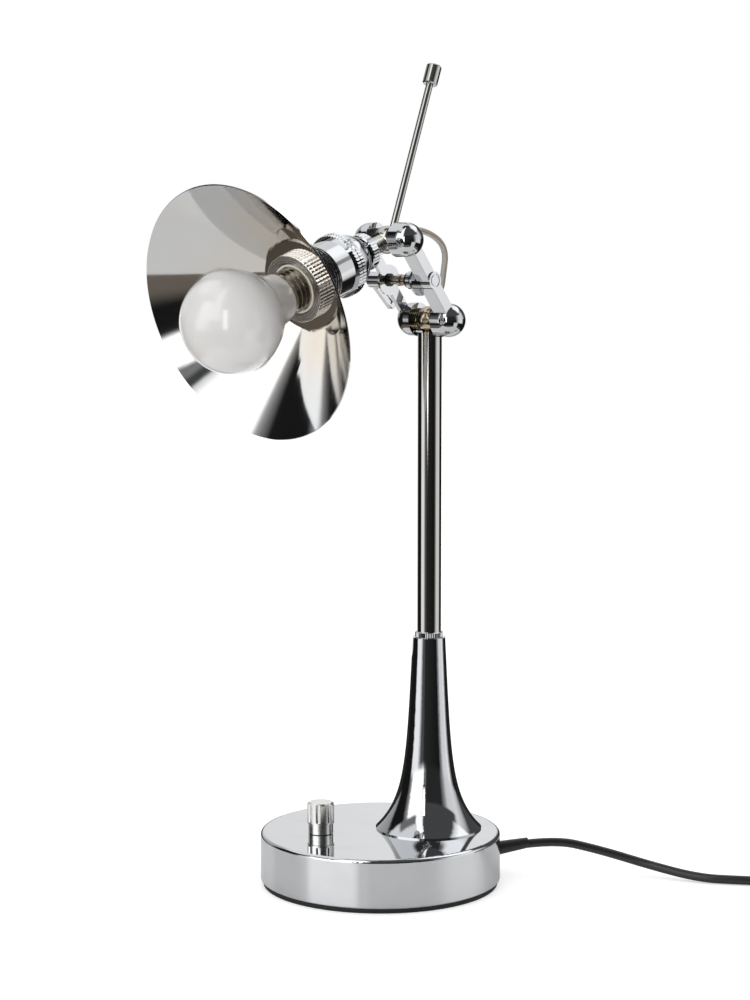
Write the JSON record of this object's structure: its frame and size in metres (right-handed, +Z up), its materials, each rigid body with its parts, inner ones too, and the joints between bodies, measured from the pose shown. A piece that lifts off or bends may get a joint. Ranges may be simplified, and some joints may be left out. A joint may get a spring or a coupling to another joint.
{
  "type": "tabletop searchlight lamp",
  "caption": "Chromed table lamp with a drum base, trumpet column, ball-jointed arm and an aimed conical reflector.",
  "frame": {"origin": "centre of the foot pad's underside, on the table", "axes": "+Z up along the post, +Y from the dimmer knob towards the column and the mains cord, +X to the side that the head is aimed towards"},
  "size_m": [0.2336, 0.4735, 0.5077],
  "materials": {
    "chrome": "polished",
    "reflector": "satin",
    "ring_nickel": "satin",
    "post_steel": "polished",
    "plain_steel": "satin",
    "nickel_brass": "polished",
    "raw_brass": "satin",
    "bronze": "satin",
    "cap_metal": "polished",
    "black_metal": "satin",
    "ballast_iron": "matte",
    "foot_rubber": "matte",
    "black_cord": "satin",
    "grey_cable": "gloss",
    "lead_sheath": "gloss",
    "dark_plastic": "matte",
    "pale_plastic": "matte",
    "porcelain": "gloss",
    "bulb_collar": "satin",
    "bulb_opal": "gloss"
  },
  "bodies": {
    "base": {"base_shell": "chrome", "base_ballast": "ballast_iron", "base_cover": "plain_steel", "foot_pad": "foot_rubber", "cover_screws": "plain_steel", "column_flare": "chrome", "column_ring": "chrome", "post_tube": "post_steel", "post_bush": "plain_steel", "column_rod": "plain_steel", "column_nuts": "plain_steel", "post_collar": "nickel_brass", "dimmer_body": "dark_plastic", "dimmer_bush": "raw_brass", "terminal_block": "pale_plastic", "base_leads": "lead_sheath", "post_lead": "lead_sheath", "cord_relief": "black_cord", "mains_cord": "black_cord", "cord_coil": "black_cord", "plug_lead": "black_cord", "plug_body": "black_cord", "plug_pins": "raw_brass"},
    "dimmer_knob": {"dimmer_knob": "chrome", "dimmer_shaft": "plain_steel"},
    "lower_ball": {"lower_ball": "nickel_brass", "stem_ring": "plain_steel"},
    "arm": {"half_arm_front": "chrome", "half_arm_rear": "chrome", "friction_pads": "raw_brass", "tie_bolt": "chrome", "bolt_sleeve": "bronze", "bolt_washers": "black_metal", "clamp_disc": "chrome", "arm_cable_upper": "grey_cable", "arm_cable_lower": "grey_cable"},
    "clamp_lever": {"clamp_lever": "chrome"},
    "upper_ball": {"upper_ball": "nickel_brass", "handle_rod": "post_steel", "handle_tip": "post_steel"},
    "head": {"lock_ring": "chrome", "holder_cap": "chrome", "holder_ring": "chrome", "holder_skirt": "chrome", "holder_thread": "black_metal", "shade_ring": "ring_nickel", "reflector_shade": "reflector", "porcelain_insert": "porcelain", "contact_sleeve": "raw_brass", "centre_contact": "raw_brass", "head_leads": "lead_sheath", "bulb_cap": "cap_metal", "bulb_foot": "cap_metal", "bulb_collar": "bulb_collar", "bulb_globe": "bulb_opal"}
  },
  "joints": [
    {"name": "dimmer_turn", "type": "hinge", "parent": "base", "child": "dimmer_knob", "pos_m": [0, -0.038, 0.045], "axis": [0, 0, 1], "range_deg": [0, 270]},
    {"name": "post_turn", "type": "hinge", "parent": "base", "child": "lower_ball", "pos_m": [0, 0.031, 0.3518], "axis": [0, 0, 1], "range_deg": [-150, 150]},
    {"name": "arm_swing", "type": "hinge", "parent": "lower_ball", "child": "arm", "pos_m": [0, 0.031, 0.3518], "axis": [0.807, 0.5906, 0], "range_deg": [-70, 35], "deforming": ["arm_cable_lower"]},
    {"name": "lever_turn", "type": "hinge", "parent": "arm", "child": "clamp_lever", "pos_m": [0.01166, 0.01506, 0.37628], "axis": [0.807, 0.5906, 0], "range_deg": [-100, 60]},
    {"name": "head_tilt", "type": "hinge", "parent": "arm", "child": "upper_ball", "pos_m": [0.02333, -0.00087, 0.40075], "axis": [-0.807, -0.5906, 0], "range_deg": [-40, 60], "deforming": ["arm_cable_upper"]},
    {"name": "head_turn", "type": "hinge", "parent": "upper_ball", "child": "head", "pos_m": [0.02333, -0.00087, 0.40075], "axis": [0.5578, -0.7621, -0.3289], "range_deg": [-170, 170]}
  ]
}
